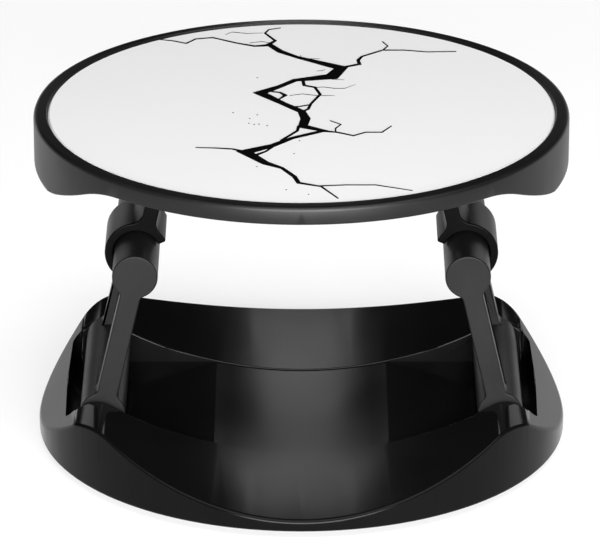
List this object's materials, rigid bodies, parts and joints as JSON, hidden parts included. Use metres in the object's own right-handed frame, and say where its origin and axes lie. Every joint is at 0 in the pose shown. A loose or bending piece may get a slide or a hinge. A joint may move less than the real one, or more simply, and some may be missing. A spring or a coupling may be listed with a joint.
{
  "type": "folding phone grip",
  "caption": "Round top disc on two knee-jointed legs that fold flat into the channel of a saddle-shaped, stick-on base plate.",
  "frame": {"origin": "centre of the adhesive pad's underside, on the surface that the grip stands on or is stuck to", "axes": "+Z out of the phone towards the disc, +X from the left leg to the right leg, +Y along the hinge pins"},
  "size_m": [0.04, 0.04, 0.026],
  "materials": {
    "base_black": "satin black moulding",
    "leg_black": "satin black moulding",
    "disc_black": "satin black moulding",
    "face_white": "glossy white plate",
    "ink_black": "black print",
    "pin_steel": "ground steel",
    "pad_gel": "dull adhesive pad"
  },
  "bodies": {
    "base": {"base_plate": "base_black", "adhesive_pad": "pad_gel", "left_base_pin": "pin_steel", "right_base_pin": "pin_steel"},
    "left_arm": {"left_lower_arm": "leg_black"},
    "left_link": {"left_upper_link": "leg_black"},
    "right_arm": {"right_lower_arm": "leg_black"},
    "right_link": {"right_upper_link": "leg_black"},
    "disc": {"disc_shell": "disc_black", "face_plate": "face_white", "crack_print": "ink_black", "left_disc_pin": "pin_steel", "right_disc_pin": "pin_steel"}
  },
  "joints": [
    {"name": "left_base_hinge", "type": "hinge", "parent": "base", "child": "left_arm", "pos_m": [-0.0149, 0, 0.0044], "axis": [0, 1, 0], "range_deg": [0, 74]},
    {"name": "left_knee", "type": "hinge", "parent": "left_arm", "child": "left_link", "pos_m": [-0.01236, 0, 0.01541], "axis": [0, 1, 0], "range_deg": [-177.6, 0]},
    {"name": "left_disc_hinge", "type": "hinge", "parent": "left_link", "child": "disc", "pos_m": [-0.01075, 0, 0.02238], "axis": [0, 1, 0], "range_deg": [0, 103.6]},
    {"name": "right_base_hinge", "type": "hinge", "parent": "base", "child": "right_arm", "pos_m": [0.0149, 0, 0.0044], "axis": [0, 1, 0], "range_deg": [-74, 0]},
    {"name": "right_knee", "type": "hinge", "parent": "right_arm", "child": "right_link", "pos_m": [0.01236, 0, 0.01541], "axis": [0, 1, 0], "range_deg": [0, 177.6]}
  ],
  "couplings": [
    {"joint": "left_knee", "follows": "left_base_hinge", "ratio": -2.4},
    {"joint": "left_disc_hinge", "follows": "left_base_hinge", "ratio": 1.4},
    {"joint": "right_base_hinge", "follows": "left_base_hinge", "ratio": -1},
    {"joint": "right_knee", "follows": "left_base_hinge", "ratio": 2.4}
  ]
}
